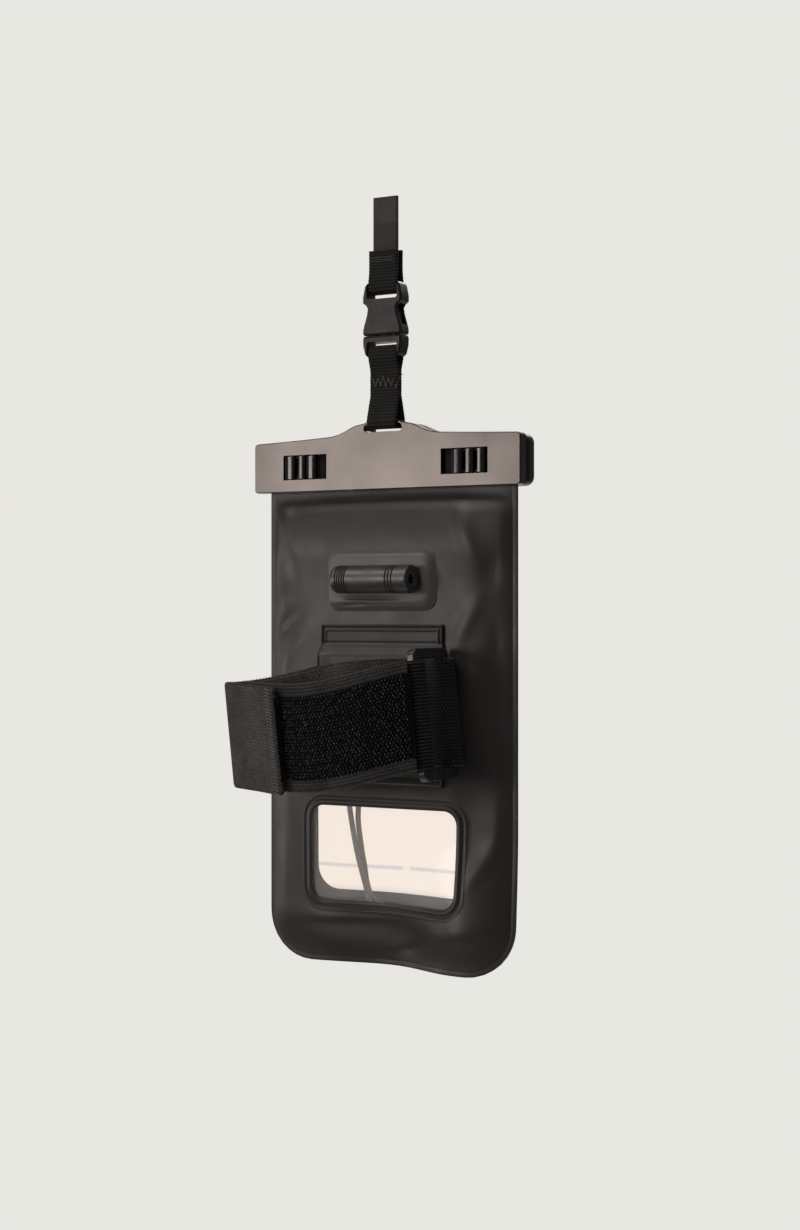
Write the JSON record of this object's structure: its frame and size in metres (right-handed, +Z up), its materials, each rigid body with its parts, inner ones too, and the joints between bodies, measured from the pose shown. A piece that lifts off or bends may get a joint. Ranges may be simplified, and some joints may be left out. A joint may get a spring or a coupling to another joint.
{
  "type": "phone armband case",
  "caption": "Waterproof phone pouch with a sliding-lock clamp, an armband threaded through a patch on its back, an earphone socket, a clear window and the end of a buckled lanyard.",
  "frame": {"origin": "centre of the lanyard slot in the clamp's tab, on the pouch's middle plane", "axes": "+Z up as the pouch hangs, -Y out of its back with the armband, +X along the clamp"},
  "size_m": [0.11, 0.0509, 0.2765],
  "materials": {
    "clamp_plastic": "gloss",
    "pouch_vinyl": "matte",
    "clear_film": "clear",
    "webbing": "woven",
    "pile_strap": "pile",
    "buckle_plastic": "satin",
    "soft_rubber": "matte",
    "metal": "polished"
  },
  "bodies": {
    "case": {"rear_jaw": "clamp_plastic", "front_jaw": "clamp_plastic", "jaw_seal": "soft_rubber", "pouch_rear_sheet": "pouch_vinyl", "pouch_front_sheet": "pouch_vinyl", "rear_window_panel": "clear_film", "front_screen_panel": "clear_film", "jack_pad": "soft_rubber", "jack_barrel": "soft_rubber", "jack_sleeve": "metal", "audio_lead": "soft_rubber", "audio_plug": "soft_rubber", "strap_patch": "pouch_vinyl", "armband_ring": "buckle_plastic", "arm_strap": "pile_strap", "ring_elastic_loop": "webbing", "hook_tape": "pile_strap", "lanyard_loop": "webbing", "buckle_male": "buckle_plastic"},
    "lock_left": {"lock_slider_left": "clamp_plastic"},
    "lock_right": {"lock_slider_right": "clamp_plastic"},
    "lanyard_top": {"buckle_female": "buckle_plastic", "upper_webbing": "webbing", "neck_strap": "webbing"}
  },
  "joints": [
    {"name": "lock_left_slide", "type": "slide", "parent": "case", "child": "lock_left", "axis": [1, 0, 0], "range_m": [0, 0.004]},
    {"name": "lock_right_slide", "type": "slide", "parent": "case", "child": "lock_right", "axis": [-1, 0, 0], "range_m": [-0.0008, 0.0032]},
    {"name": "buckle_release", "type": "slide", "parent": "case", "child": "lanyard_top", "axis": [0, 0, 1], "range_m": [0, 0.012]}
  ]
}
